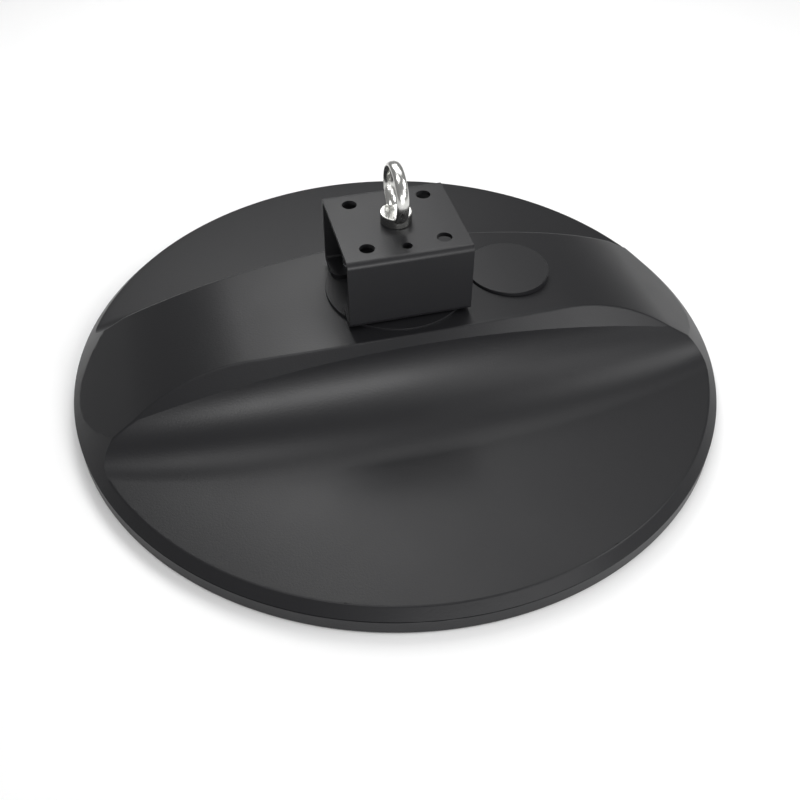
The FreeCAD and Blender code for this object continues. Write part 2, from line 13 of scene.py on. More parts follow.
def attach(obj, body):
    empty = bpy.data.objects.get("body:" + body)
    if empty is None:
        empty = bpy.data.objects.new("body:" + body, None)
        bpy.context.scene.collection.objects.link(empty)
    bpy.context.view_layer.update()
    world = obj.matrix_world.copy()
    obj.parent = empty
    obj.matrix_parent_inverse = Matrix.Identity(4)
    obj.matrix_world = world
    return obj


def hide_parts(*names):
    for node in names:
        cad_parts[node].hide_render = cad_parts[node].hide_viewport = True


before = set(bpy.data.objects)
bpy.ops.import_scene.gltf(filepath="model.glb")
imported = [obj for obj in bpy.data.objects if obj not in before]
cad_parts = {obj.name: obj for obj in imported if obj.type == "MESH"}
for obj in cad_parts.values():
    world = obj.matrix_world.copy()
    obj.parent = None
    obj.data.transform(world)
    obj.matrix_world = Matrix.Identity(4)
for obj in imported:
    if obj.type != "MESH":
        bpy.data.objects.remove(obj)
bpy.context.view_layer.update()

# High bay light: a round die-cast disc with an arched bridge, two scooped floors, a folded
# bracket and an eye bolt. Sizes are in millimetres, +Z is up and +X runs along the bridge.

MM = 0.001
BODY = "root"
MERGE_M = 1e-6
CORNERS = [(-1, -1), (-1, 1), (1, -1), (1, 1)]
# Edges sharper than this are shaded sharp.
CREASE_DEG = 30.0
log = logging.getLogger("high_bay_light")

Point2 = tuple[float, float]
Piece = bpy.types.Object
Tree = bpy.types.NodeTree
Node = bpy.types.Node
Socket = bpy.types.NodeSocket


# Colour, nodes and finishes

def linear(colour: str) -> tuple[float, float, float, float]:
    """Turns an sRGB hex colour into linear values.

    Args:
        colour: Six hex digits with a leading hash.

    Returns:
        Linear red, green, blue and an alpha of one.
    """
    values = [int(colour[i:i + 2], 16) / 255 for i in (1, 3, 5)]
    red, green, blue = (v / 12.92 if v <= 0.04045 else ((v + 0.055) / 1.055) ** 2.4
                        for v in values)
    return red, green, blue, 1.0


def add_node(tree: Tree, kind: str, inputs: dict | None = None, **settings: str) -> Node:
    """Adds one node with its settings and links.

    Args:
        tree: The node tree that takes the node.
        kind: The node's type.
        inputs: Socket name or number to a value, or to an output socket to link.
        settings: Attributes to set on the node.

    Returns:
        The new node.
    """
    node = tree.nodes.new(kind)
    for name, value in settings.items():
        setattr(node, name, value)
    for key, value in (inputs or {}).items():
        if isinstance(value, Socket):
            tree.links.new(value, node.inputs[key])
        else:
            node.inputs[key].default_value = value
    return node


def new_tree(name: str, *sockets: tuple[str, str]) -> tuple[Tree, Node]:
    """Starts a Geometry Nodes tree with one geometry as its result.

    Args:
        name: The tree's name.
        sockets: Name and kind of each input.

    Returns:
        The tree and its input node.
    """
    tree = bpy.data.node_groups.new(name, "GeometryNodeTree")
    for label, kind in sockets:
        tree.interface.new_socket(label, in_out="INPUT", socket_type=kind)
    tree.interface.new_socket("Geometry", in_out="OUTPUT", socket_type="NodeSocketGeometry")
    return tree, add_node(tree, "NodeGroupInput")


def end_tree(tree: Tree, geometry: Socket, material: bpy.types.Material | Socket) -> None:
    """Ends a tree in Realize Instances and Set Material.

    Args:
        tree: The tree.
        geometry: The geometry so far.
        material: Its material, or the socket that brings it.
    """
    whole = add_node(tree, "GeometryNodeRealizeInstances", {0: geometry})
    coat = add_node(tree, "GeometryNodeSetMaterial",
                    {"Geometry": whole.outputs[0], "Material": material})
    add_node(tree, "NodeGroupOutput", {0: coat.outputs[0]})


@dataclass(frozen=True)
class Finish:
    """One real surface: what it is, how it was made and how it takes the light."""

    name: str
    colour: str
    roughness: float
    metallic: float = 0.0
    ior: float = 1.5
    grain_mm: float = 0.0
    grain_height_mm: float = 0.0
    mottle_mm: float = 0.0
    mottle: float = 0.0
    brushed_mm: float = 0.0
    specular: float = 0.5

    def material(self) -> bpy.types.Material:
        """Builds the material once and returns it from then on."""
        known = bpy.data.materials.get(self.name)
        if known is not None:
            return known
        made = bpy.data.materials.new(self.name)
        made.use_nodes = True
        tree = made.node_tree
        shader = tree.nodes["Principled BSDF"]
        values = {"Base Color": linear(self.colour), "Roughness": self.roughness,
                  "Metallic": self.metallic}
        if not self.metallic:
            values |= {"IOR": self.ior, "Specular IOR Level": self.specular}
        for name, value in values.items():
            shader.inputs[name].default_value = value
        place = add_node(tree, "ShaderNodeTexCoord").outputs["Object"]
        if self.mottle:
            self._mottle(tree, shader, place)
        if self.grain_mm:
            self._grain(tree, shader, place)
        return made

    def _mottle(self, tree: Tree, shader: Node, place: Socket) -> None:
        """Lets the roughness drift a little over the surface."""
        cloud = add_node(tree, "ShaderNodeTexNoise",
                         {"Vector": place, "Scale": 1 / (self.mottle_mm * MM), "Detail": 2.0})
        drift = add_node(tree, "ShaderNodeMapRange",
                         {"Value": cloud.outputs["Fac"], "From Min": 0.3, "From Max": 0.7,
                          "To Min": self.roughness - self.mottle,
                          "To Max": self.roughness + self.mottle})
        tree.links.new(drift.outputs["Result"], shader.inputs["Roughness"])

    def _grain(self, tree: Tree, shader: Node, place: Socket) -> None:
        """Raises the fine grain of the surface, drawn out along X where it is brushed."""
        if self.brushed_mm:
            place = add_node(tree, "ShaderNodeMapping",
                             {"Vector": place, "Scale": (self.grain_mm / self.brushed_mm, 1.0,
                                                         1.0)}).outputs["Vector"]
        grit = add_node(tree, "ShaderNodeTexNoise",
                        {"Vector": place, "Scale": 1 / (self.grain_mm * MM), "Detail": 1.0})
        bump = add_node(tree, "ShaderNodeBump",
                        {"Height": grit.outputs["Fac"], "Strength": 1.0,
                         "Distance": self.grain_height_mm * MM})
        tree.links.new(bump.outputs["Normal"], shader.inputs["Normal"])


class Surface(Enum):
    """The finishes of the light, named for the real material."""

    # Black polyester powder coat, sprayed and baked: a satin skin with a fine even grain that
    # spreads each light into a broad soft glow. Matting agents in the resin dim its shine. The
    # grain is drawn a little coarser than real.
    POWDER_COAT = Finish("satin_black_polyester_powder_coat", "#19191b", 0.4, grain_mm=0.9,
                         grain_height_mm=0.035, mottle_mm=40.0, mottle=0.02, specular=0.3)
    # Stainless steel, forged and buffed: bright, with soft-edged dark and light streaks.
    POLISHED_STEEL = Finish("buffed_stainless_steel", "#cfcfcc", 0.2, 1.0)
    # Zinc plated steel, cold headed: a cool grey that blurs what it mirrors.
    ZINC = Finish("bright_zinc_plated_steel", "#b9bcc0", 0.28, 1.0, mottle_mm=1.5, mottle=0.06)
    # Black nylon, injection moulded: dull, with a slight sheen on its edges.
    NYLON = Finish("moulded_black_nylon", "#141414", 0.5, ior=1.53, grain_mm=0.4,
                   grain_height_mm=0.01)
    # Black nitrile rubber, moulded: matt and a little dusty.
    RUBBER = Finish("moulded_nitrile_rubber", "#101010", 0.8, ior=1.52)
    # Translucent silicone rubber, extruded: soft white with a waxy sheen.
    SILICONE = Finish("extruded_silicone_rubber", "#dcdcd8", 0.55, ior=1.41)
    # Opal polycarbonate, frosted on its face: milky white, no clear reflection.
    OPAL = Finish("frosted_opal_polycarbonate", "#ededea", 0.45, ior=1.58, grain_mm=0.6,
                  grain_height_mm=0.008)
    # Aluminium sheet, cold rolled: fine lines along the rolling direction.
    ROLLED_ALUMINIUM = Finish("rolled_aluminium_sheet", "#c3c5c8", 0.33, 1.0, grain_mm=0.25,
                              grain_height_mm=0.006, brushed_mm=12.0)
    # White solder mask, screen printed on an aluminium board: even satin white.
    SOLDER_MASK = Finish("white_solder_mask", "#e4e4de", 0.38)
    # Yellow phosphor in clear silicone, dispensed into each package: glossy and warm.
    PHOSPHOR = Finish("silicone_cast_phosphor", "#e0b84a", 0.2, ior=1.41)
    # Grey gap pad, filled silicone, calendered: dull and slightly uneven.
    GAP_PAD = Finish("filled_silicone_gap_pad", "#8e9094", 0.85, mottle_mm=3.0, mottle=0.05)
    # Green solder mask on glass-fibre board: satin green.
    CIRCUIT = Finish("green_solder_mask", "#0d4d27", 0.35)
    # Varnished winding and tape of a transformer: amber and semi-gloss.
    WINDING = Finish("varnished_copper_winding", "#8f5a18", 0.4, grain_mm=0.7,
                     grain_height_mm=0.05)
    # Shrunk vinyl sleeve of a capacitor: dark blue and glossy.
    SLEEVE = Finish("shrunk_vinyl_sleeve", "#0f1626", 0.25)
    # Natural nylon, injection moulded: off-white and satin.
    WHITE_NYLON = Finish("moulded_natural_nylon", "#d8d6cc", 0.45, ior=1.53)


PLAIN_NODES: dict[Surface, tuple[str, ...]] = {
    Surface.POLISHED_STEEL: ("eye_washer", "eye_nut"),
    Surface.RUBBER: ("port_seal", "gland_plug", "gland_seal"),
    Surface.NYLON: ("gland_body", "gland_nut"),
    Surface.ROLLED_ALUMINIUM: ("heat_plate", "driver_case", "driver_cover"),
    Surface.GAP_PAD: ("thermal_pad",),
    Surface.SOLDER_MASK: ("led_board",),
    Surface.SILICONE: ("diffuser_seal",),
    Surface.CIRCUIT: ("driver_board",),
    Surface.WINDING: ("driver_transformer",),
    Surface.SLEEVE: ("driver_capacitors",),
    Surface.WHITE_NYLON: ("terminal_block",),
    Surface.OPAL: ("diffuser",),
}


# Meshes

def object_from(name: str, points: Sequence[Sequence[float]],
                faces: Sequence[Sequence[int]]) -> Piece:
    """Makes a mesh object from points in millimetres.

    Args:
        name: The object's name.
        points: Corner points in millimetres.
        faces: Corner numbers of each face.

    Returns:
        The linked object, at the origin.
    """
    mesh = bpy.data.meshes.new(name)
    mesh.from_pydata([tuple(c * MM for c in p) for p in points], [], faces)
    mesh.validate()
    made = bpy.data.objects.new(name, mesh)
    bpy.context.scene.collection.objects.link(made)
    return made


def outward(made: Piece) -> Piece:
    """Merges doubles and turns every face of a closed mesh outwards."""
    shape = bmesh.new()
    shape.from_mesh(made.data)
    bmesh.ops.remove_doubles(shape, verts=shape.verts, dist=MERGE_M)
    bmesh.ops.recalc_face_normals(shape, faces=shape.faces)
    shape.to_mesh(made.data)
    shape.free()
    return made


def lathe(name: str, profile: Sequence[Point2], steps: int, at: Point2 = (0.0, 0.0)) -> Piece:
    """Turns a closed profile about a vertical axis.

    Args:
        name: The object's name.
        profile: (radius, height) corners in millimetres; a radius of zero lies on the axis.
        steps: Number of steps round the turn.
        at: Where the axis stands, x and y.

    Returns:
        The closed solid.
    """
    points = []
    for i in range(steps):
        turn = 2 * math.pi * i / steps
        points += [(at[0] + r * math.cos(turn), at[1] + r * math.sin(turn), z)
                   for r, z in profile]
    size = len(profile)
    faces = []
    for i in range(steps):
        near, far = i * size, (i + 1) % steps * size
        for j in range(size):
            nxt = (j + 1) % size
            if profile[j][0] == 0 and profile[nxt][0] == 0:
                continue
            faces.append((near + j, far + j, far + nxt, near + nxt))
    return outward(object_from(name, points, faces))


def cylinder(name: str, r: float, low: float, high: float, steps: int,
             at: Point2 = (0.0, 0.0)) -> Piece:
    """Turns an upright cylinder.

    Args:
        name: The object's name.
        r: Its radius.
        low: Height of its foot.
        high: Height of its top.
        steps: Number of steps round the turn.
        at: Where the axis stands, x and y.

    Returns:
        The closed solid.
    """
    return lathe(name, [(0, low), (r, low), (r, high), (0, high)], steps, at)


def tipped(made: Piece, height: float) -> Piece:
    """Tips an upright piece over along Y and lifts it to a height in millimetres."""
    made.data.transform(Matrix.Translation((0, 0, height * MM))
                        @ Matrix.Rotation(-math.pi / 2, 4, "X"))
    return made


def loft(name: str, rows: Sequence[Sequence[Sequence[float]]]) -> Piece:
    """Joins loops of equal size into one closed solid.

    Args:
        name: The object's name.
        rows: The loops of points in millimetres, from one end to the other.

    Returns:
        The closed solid.
    """
    width, last = len(rows[0]), len(rows) - 1
    faces = [tuple(range(width)), tuple(last * width + j for j in range(width))]
    for i in range(last):
        near, far = i * width, (i + 1) * width
        for j in range(width):
            nxt = (j + 1) % width
            faces.append((near + j, near + nxt, far + nxt, far + j))
    return outward(object_from(name, [point for row in rows for point in row], faces))


def rounded(corners: Sequence[tuple[float, float, float]], steps: int = 4) -> list[Point2]:
    """Rounds the corners of a closed outline.

    Args:
        corners: (first, second, radius) of each corner; a radius of zero keeps it sharp.
        steps: Points along each rounding.

    Returns:
        The outline's points.
    """
    outline = []
    count = len(corners)
    for i, (a, b, radius) in enumerate(corners):
        here = Vector((a, b))
        if radius == 0:
            outline.append((a, b))
            continue
        back = Vector(corners[i - 1][:2]) - here
        ahead = Vector(corners[(i + 1) % count][:2]) - here
        half = back.angle(ahead) / 2
        reach = radius / math.tan(half)
        centre = here + (back.normalized() + ahead.normalized()).normalized() * (
            radius / math.sin(half))
        start = here + back.normalized() * reach - centre
        end = here + ahead.normalized() * reach - centre
        sweep = start.angle_signed(end)
        for k in range(steps + 1):
            turn = Matrix.Rotation(-sweep * k / steps, 2)
            outline.append(tuple(centre + turn @ start))
    return outline


def settle(made: Piece) -> Piece:
    """Turns the object's modifiers into plain mesh."""
    bpy.context.view_layer.update()
    graph = bpy.context.evaluated_depsgraph_get()
    mesh = bpy.data.meshes.new_from_object(made.evaluated_get(graph))
    made.modifiers.clear()
    made.data = mesh
    return made


def combine(made: Piece, tools: Sequence[Piece], operation: str) -> Piece:
    """Joins or cuts closed solids exactly and removes the tools.

    Args:
        made: The solid that changes.
        tools: The solids joined to it, cut from it or kept in common with it.
        operation: UNION, DIFFERENCE or INTERSECT.

    Returns:
        The changed solid.
    """
    for tool in tools:
        step = made.modifiers.new(tool.name, "BOOLEAN")
        step.object = tool
        step.operation = operation
        step.solver = "EXACT"
    settle(made)
    for tool in tools:
        bpy.data.objects.remove(tool)
    return made


def stand_in(made: Piece, surface: Surface, *nodes: str) -> None:
    """Gives a finished piece its looks and lets it stand for its CAD nodes.

    Args:
        made: The piece, at the origin.
        surface: Its finish.
        nodes: The nodes that it replaces.
    """
    made.data.materials.clear()
    made.data.materials.append(surface.value.material())
    made.data.shade_smooth()
    made.data.set_sharp_from_angle(angle=math.radians(CREASE_DEG))
    flats = made.modifiers.new("flats_stay_flat", "WEIGHTED_NORMAL")
    flats.keep_sharp = True
    settle(made)
    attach(made, BODY)
    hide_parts(*nodes)
    log.info("%s: %d faces, stands for %s", made.name, len(made.data.polygons), ", ".join(nodes))


# Casting

@dataclass
class Casting:
    """The die-cast housing: disc, arched bridge, two scoops, pad, port seat and gland boss."""

    disc_r: float = 160.0
    band_h: float = 8.3
    bevel_h: float = 4.4
    bevel_in: float = 4.4
    wall: float = 3.0
    bridge_top: float = 51.6
    bridge_arc_r: float = 760.0
    bridge_arc_in: float = 84.3
    shoulder_r: float = 125.0
    bridge_end_in: float = 5.0
    lip_y: float = 41.2
    lip_drop: float = 3.2
    lip_end_in: float = 5.6
    lip_end_h: float = 6.6
    lip_slant: float = 1.3
    cove_r: float = 36.0
    cove_end_r: float = 19.5
    scoop_half: float = 158.0
    ridge_round: float = 0.8
    floor_round: float = 0.6
    pad_r: float = 33.8
    pad_top: float = 52.7
    pad_sunk: float = 3.0
    pad_round: float = 0.1
    port_x: float = 56.6
    seat_r: float = 20.2
    seat_z: float = 48.9
    seat_h: float = 5.0
    seat_gap: float = 0.4
    port_hole_r: float = 13.0
    port_hole_h: float = 8.0
    boss_r: float = 13.0
    boss_z: float = 30.0
    boss_in: float = 37.5
    boss_out: float = 56.97
    boss_bore_r: float = 8.1
    bore_past: float = 2.0
    recess_r: float = 148.0
    room_round: float = 0.3
    lip_least: float = 0.6
    cove_least: float = 1.0
    stations: int = 241
    room_stations: int = 81
    turn_steps: int = 360
    recess_steps: int = 180
    pad_steps: int = 120
    port_steps: int = 96
    bore_steps: int = 64
    cove_points: int = 60
    row_points: tuple[int, int, int, int] = (12, 4, 28, 8)
    touch: float = 0.01
    above: float = 70.0

    @property
    def floor_top(self) -> float:
        """Height of the scoops' floors."""
        return self.band_h + self.bevel_h

    def bridge_height(self, x: float, inset: float) -> float:
        """Height of the bridge's arched top.

        Args:
            x: Place along the bridge.
            inset: How far inside the outer face.

        Returns:
            The height in millimetres.
        """
        half = self.disc_r - self.bridge_arc_in
        joint = math.asin(half / self.bridge_arc_r)
        crown_z = self.bridge_top - self.bridge_arc_r
        side_x = (self.bridge_arc_r - self.shoulder_r) * math.sin(joint)
        side_z = crown_z + (self.bridge_arc_r - self.shoulder_r) * math.cos(joint)
        run = self.disc_r - self.bridge_end_in - side_x
        rise = self.floor_top - side_z
        slope = math.atan2(run, rise) - math.acos(self.shoulder_r / math.hypot(run, rise))
        x = abs(x)
        arc_r = self.bridge_arc_r - inset
        shoulder_r = self.shoulder_r - inset
        if x <= arc_r * math.sin(joint):
            return crown_z + math.sqrt(arc_r ** 2 - x ** 2)
        end_x = side_x + shoulder_r * math.sin(slope)
        if x <= end_x:
            return side_z + math.sqrt(shoulder_r ** 2 - (x - side_x) ** 2)
        return side_z + shoulder_r * math.cos(slope) - (x - end_x) * math.tan(slope)

    def section(self, x: float, inset: float) -> tuple[np.ndarray, float]:
        """Half of the casting's section across the bridge.

        Args:
            x: Place along the bridge.
            inset: How far inside the outer face.

        Returns:
            The line from the ridge over lip, cove and floor as (y, z) rows, and the lip's
            length.
        """
        share = min(abs(x) / self.scoop_half, 1.0) ** 2
        lip_top = self.bridge_top - self.lip_drop
        edge_y = self.lip_y - self.lip_end_in * share
        edge_z = lip_top - (lip_top - self.floor_top - self.lip_end_h) * share
        r = self.cove_r - (self.cove_r - self.cove_end_r) * share
        centre_z = self.floor_top + r
        centre_y = edge_y + math.sqrt(r * r - (centre_z - edge_z) ** 2)
        size = math.hypot(1.0, self.lip_slant)
        start = (edge_y - inset / size - centre_y,
                 edge_z - inset * self.lip_slant / size - centre_z)
        along = (-self.lip_slant / size, 1.0 / size)
        reach = r + inset
        half_b = start[0] * along[0] + start[1] * along[1]
        step = -half_b + math.sqrt(half_b ** 2 - (start[0] ** 2 + start[1] ** 2 - reach ** 2))
        lip = (centre_y + start[0] + step * along[0], centre_z + start[1] + step * along[1])
        top = self.bridge_height(x, inset)
        floor = self.floor_top - inset
        far = self.disc_r + 4 * self.wall
        if top <= floor + self.touch:
            return np.array([(centre_y, top), (far, top)]), 0.0
        if top > lip[1]:
            ridge = (lip[0] - self.lip_slant * (top - lip[1]), top)
            first = lip
        else:
            ridge = (centre_y - math.sqrt(reach ** 2 - (top - centre_z) ** 2), top)
            first = ridge
        begin = math.atan2(centre_z - first[1], centre_y - first[0])
        arc = [(centre_y - reach * math.cos(a), centre_z - reach * math.sin(a))
               for a in np.linspace(begin, math.pi / 2, self.cove_points)]
        return np.array([ridge] + arc + [(far, floor)]), math.dist(ridge, first)

    def half_row(self, x: float, inset: float, corner: float) -> list[Point2]:
        """Points of a half section in fixed number, dense where it curves.

        Args:
            x: Place along the bridge.
            inset: How far inside the outer face.
            corner: How far the ridge is rounded back each way.

        Returns:
            (y, z) points from the middle outwards.
        """
        rows, lip_len = self.section(x, inset)
        ridge_y, top = rows[0]
        # Top, lip, cove and floor have the same counts at every station, as the loft needs.
        top_n, lip_n, cove_n, floor_n = self.row_points
        length = np.concatenate([[0], np.cumsum(np.hypot(*np.diff(rows, axis=0).T))])

        def on_line(s: float) -> Point2:
            return float(np.interp(s, length, rows[:, 0])), float(np.interp(s, length, rows[:, 1]))

        points = [(y, top) for y in np.linspace(0, ridge_y - corner, top_n)]
        a, b, c = Vector(points[-1]), Vector((ridge_y, top)), Vector(on_line(corner))
        for t in (0.2, 0.4, 0.6, 0.8):
            points.append(tuple((1 - t) ** 2 * a + 2 * t * (1 - t) * b + t * t * c))
        lip_end = max(lip_len, corner + self.lip_least)
        foot = max(length[-2], lip_end + self.cove_least)
        marks = list(np.linspace(corner, lip_end, lip_n))
        marks += list(np.linspace(lip_end, foot, cove_n)[1:])
        marks += list(np.linspace(foot, length[-1], floor_n)[1:])
        points += [on_line(s) for s in marks]
        return points

    def scooped_block(self, name: str, inset: float, stations: int, corner: float) -> Piece:
        """The bridge and both scoops as one block, wider than the disc.

        Args:
            name: The block's name.
            inset: How far inside the outer face.
            stations: Sections along the bridge.
            corner: How far the ridge is rounded back.

        Returns:
            The closed block.
        """
        reach = self.disc_r + self.wall
        base = -2 * self.wall
        rows = []
        for x in np.linspace(-reach, reach, stations):
            half = self.half_row(x, inset, corner)
            row = [(x, -y, z) for y, z in reversed(half[1:])] + [(x, y, z) for y, z in half]
            rows.append([(x, row[0][1], base)] + row + [(x, row[-1][1], base)])
        return loft(name, rows)

    def disc(self) -> Piece:
        """The bevelled disc, carried on upwards at the bevel's slope."""
        rise = self.above - self.band_h
        top_r = self.disc_r - rise * self.bevel_in / self.bevel_h
        return lathe("disc", [(0, self.band_h), (self.disc_r, self.band_h),
                              (top_r, self.above), (0, self.above)], self.turn_steps)

    def cavity(self) -> list[Piece]:
        """The hollow of the bridge and the flat recess below it."""
        ceiling = self.floor_top - self.wall
        room = self.scooped_block("room", self.wall, self.room_stations, self.room_round)
        steps = self.recess_steps
        slab = cylinder("slab", self.recess_r - self.wall, ceiling - self.touch, self.above, steps)
        combine(room, [slab], "INTERSECT")
        return [room, cylinder("recess", self.recess_r, 0, ceiling, steps)]

    def round_floor_edge(self, made: Piece) -> None:
        """Rounds the edge where the scoops' floors meet the rim's bevel."""
        edge_r = (self.disc_r - self.bevel_in) * MM
        near_z, near_r = 2e-6, 2e-5
        shape = bmesh.new()
        shape.from_mesh(made.data)

        def on_edge(corner: bmesh.types.BMVert) -> bool:
            return (abs(corner.co.z - self.floor_top * MM) < near_z
                    and abs(corner.co.xy.length - edge_r) < near_r)

        edges = [e for e in shape.edges if all(on_edge(v) for v in e.verts)]
        bmesh.ops.bevel(shape, geom=edges, offset=self.floor_round * MM, segments=3,
                        profile=0.5, affect="EDGES")
        shape.to_mesh(made.data)
        shape.free()

    def build(self) -> None:
        """Builds the casting and lets it stand for the housing."""
        made = self.scooped_block("casting", 0.0, self.stations, self.ridge_round)
        combine(made, [self.disc()], "INTERSECT")
        self.round_floor_edge(made)
        pad_low = self.pad_top - self.pad_sunk
        pad = lathe("pad", rounded([(0, pad_low, 0), (self.pad_r, pad_low, 0),
                                    (self.pad_r, self.pad_top, self.pad_round),
                                    (0, self.pad_top, 0)]), self.pad_steps)
        port, around, hollow = (self.port_x, 0), self.port_steps, self.bore_steps
        seat = cylinder("seat", self.seat_r, self.seat_z - self.seat_h, self.seat_z, around, port)
        boss = cylinder("boss", self.boss_r, self.boss_in, self.boss_out, hollow)
        combine(made, [pad, tipped(boss, self.boss_z)], "UNION")
        pocket = cylinder("pocket", self.seat_r + self.seat_gap, self.seat_z, self.above, around,
                          port)
        combine(made, self.cavity() + [pocket], "DIFFERENCE")
        combine(made, [seat], "UNION")
        hole = cylinder("port", self.port_hole_r, self.seat_z - self.port_hole_h, self.above,
                        hollow, port)
        bore = cylinder("bore", self.boss_bore_r, self.boss_in / 2,
                        self.boss_out + self.bore_past, hollow)
        combine(made, [hole, tipped(bore, self.boss_z)], "DIFFERENCE")
        stand_in(made, Surface.POWDER_COAT, "housing")


# Bracket and eye bolt

@dataclass
class Bracket:
    """One folded sheet: top, two sides and two feet turned inwards."""

    width: float = 57.5
    depth: float = 55.8
    height: float = 35.8
    foot_z: float = 52.7
    sheet: float = 2.0
    bend_r: float = 1.0
    foot_depth: float = 17.8
    corner_r: float = 5.0
    hole_r: float = 3.5
    pitch_x: float = 35.5
    pitch_y: float = 35.5
    line_hole_r: float = 2.35
    line_hole_y: float = -20.0
    eye_hole_r: float = 4.1
    screw_hole_r: float = 2.65
    edge: float = 0.25
    edge_deg: float = 35.0
    past: float = 1.0
    hole_steps: int = 48

    @property
    def top(self) -> float:
        """Height of the bracket's top face."""
        return self.foot_z + self.height

    def folded(self) -> Piece:
        """The sheet's section, bent and drawn out along X."""
        half = self.depth / 2
        inner_y = half - self.sheet
        low, high = self.foot_z, self.top
        foot_y = half - self.foot_depth
        outer_r = self.bend_r + self.sheet
        right = [(0, high, 0), (half, high, outer_r), (half, low, outer_r), (foot_y, low, 0),
                 (foot_y, low + self.sheet, 0), (inner_y, low + self.sheet, self.bend_r),
                 (inner_y, high - self.sheet, self.bend_r), (0, high - self.sheet, 0)]
        side = rounded(right, 8)
        left = [(-y, z) for y, z in reversed(side)]
        outline = side[:-1] + left[:-1]
        return loft("bracket_sheet", [[(sx * self.width / 2, y, z) for y, z in outline]
                                      for sx in (-1, 1)])

    def foot_corners(self) -> list[Piece]:
        """Cutters that round the free corners of both feet."""
        r, past = self.corner_r, self.past
        half_w = self.width / 2
        foot_y = self.depth / 2 - self.foot_depth
        arc = [(half_w - r + r * math.cos(a), foot_y + r - r * math.sin(a))
               for a in np.linspace(0, math.pi / 2, 9)]
        outline = [(half_w + past, foot_y + r), (half_w, foot_y + r)] + arc[1:] + [
            (half_w - r, foot_y - past), (half_w + past, foot_y - past)]
        heights = (self.foot_z - past, self.foot_z + self.sheet + past)
        return [loft(f"corner_{sx}_{sy}", [[(sx * x, sy * y, z) for x, y in outline]
                                           for z in heights]) for sx, sy in CORNERS]

    def break_edges(self, made: Piece) -> None:
        """Breaks the sheet's sharp edges and leaves its bends alone."""
        step = made.modifiers.new("broken_edges", "BEVEL")
        step.width = self.edge * MM
        step.segments = 2
        step.limit_method = "ANGLE"
        step.angle_limit = math.radians(self.edge_deg)
        settle(made)

    def build(self) -> None:
        """Builds the bracket and lets it stand for its node."""
        made = self.folded()
        made.name = "hanging_bracket"
        top = (self.top - self.sheet - self.past, self.top + self.past)
        foot = (self.foot_z - self.past, self.foot_z + self.sheet + self.past)
        steps = self.hole_steps
        tools = self.foot_corners()
        tools.append(cylinder("eye_hole", self.eye_hole_r, *top, steps))
        tools.append(cylinder("line_hole", self.line_hole_r, *top, steps, (0, self.line_hole_y)))
        for sx, sy in CORNERS:
            at = (sx * self.pitch_x / 2, sy * self.pitch_y / 2)
            tools.append(cylinder(f"fix_{sx}_{sy}", self.hole_r, *top, steps, at))
            tools.append(cylinder(f"foot_{sx}_{sy}", self.screw_hole_r, *foot, steps, at))
        combine(made, tools, "DIFFERENCE")
        self.break_edges(made)
        stand_in(made, Surface.POWDER_COAT, "bracket")


@dataclass
class EyeBolt:
    """A forged ring of oval section on a round collar and a threaded shank."""

    seat_z: float = 88.5
    ring_r: float = 12.3
    section_w: float = 5.6
    section_t: float = 3.2
    centre_h: float = 14.8
    collar_r: float = 7.3
    collar_h: float = 5.2
    collar_edge: float = 0.45
    shank_r: float = 4.0
    shank_len: float = 14.0
    thread_pitch: float = 1.25
    thread_depth: float = 0.75
    thread_start: float = 0.4
    thread_spare: float = 2.0
    neck: float = 0.8
    ring_steps: int = 160
    section_steps: int = 32

    def ring(self) -> Piece:
        """The ring, turned flat and then stood up in the plane across the bridge."""
        section = []
        for j in range(self.section_steps):
            a = 2 * math.pi * j / self.section_steps
            section.append((self.ring_r + self.section_t / 2 * math.cos(a),
                            self.section_w / 2 * math.sin(a)))
        made = lathe("eye_ring", section, self.ring_steps)
        lift = Matrix.Translation((0, 0, (self.seat_z + self.centre_h) * MM))
        made.data.transform(lift @ Matrix(((0, 0, 1), (1, 0, 0), (0, 1, 0))).to_4x4())
        return made

    def stem(self) -> Piece:
        """Collar and shank, turned in one piece, with a rolled thread."""
        z = self.seat_z
        low = z - self.shank_len
        root = self.shank_r - self.thread_depth
        corners = [(0, low, 0), (root, low, 0)]
        turns = int((self.shank_len - self.thread_spare) / self.thread_pitch)
        for i in range(turns):
            foot = low + self.thread_start + i * self.thread_pitch
            corners.append((self.shank_r, foot + self.thread_pitch / 2, 0))
            corners.append((root, foot + self.thread_pitch, 0))
        corners += [(self.shank_r, z - self.neck, 0), (self.shank_r, z, 0),
                    (self.collar_r, z, self.collar_edge),
                    (self.collar_r, z + self.collar_h, self.collar_edge),
                    (0, z + self.collar_h, 0)]
        return lathe("eye_stem", rounded(corners, 5), 96)

    def build(self) -> None:
        """Builds the eye bolt and lets it stand for its node."""
        made = self.stem()
        made.name = "lifting_eye"
        combine(made, [self.ring()], "UNION")
        stand_in(made, Surface.POLISHED_STEEL, "eye_bolt")


# Cover, gland cap and bezel

